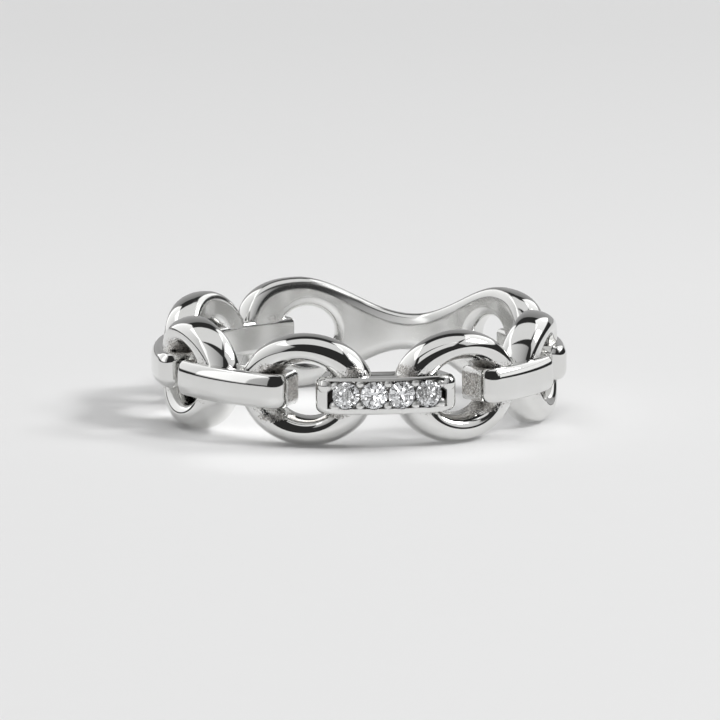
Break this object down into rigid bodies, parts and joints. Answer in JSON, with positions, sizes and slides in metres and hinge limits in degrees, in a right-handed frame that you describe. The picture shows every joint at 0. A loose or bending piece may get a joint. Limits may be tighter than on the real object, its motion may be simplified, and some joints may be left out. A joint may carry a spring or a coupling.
{
  "type": "interlocking ring",
  "caption": "Finger ring of round open links passed through bar links, one bar channel-set with round brilliants, closed at the back by a waisted shank with a loop at each end.",
  "frame": {"origin": "on the axis of the finger bore, at mid height of the ring", "axes": "+Z along the finger axis, -Y through the middle of the front link, +X towards the stone-set bar's side"},
  "size_m": [0.022, 0.0213, 0.006],
  "materials": {
    "white_gold": "polished",
    "brilliant": "gloss"
  },
  "bodies": {
    "root": {"link_front": "white_gold", "link_right": "white_gold", "link_side_right": "white_gold", "link_left": "white_gold", "link_side_left": "white_gold", "bar_stone_set": "white_gold", "bar_front_left": "white_gold", "bar_right": "white_gold", "bar_left": "white_gold", "bar_back_right": "white_gold", "bar_back_left": "white_gold", "shank": "white_gold", "stone_1": "brilliant", "stone_2": "brilliant", "stone_3": "brilliant", "stone_4": "brilliant"}
  },
  "joints": []
}
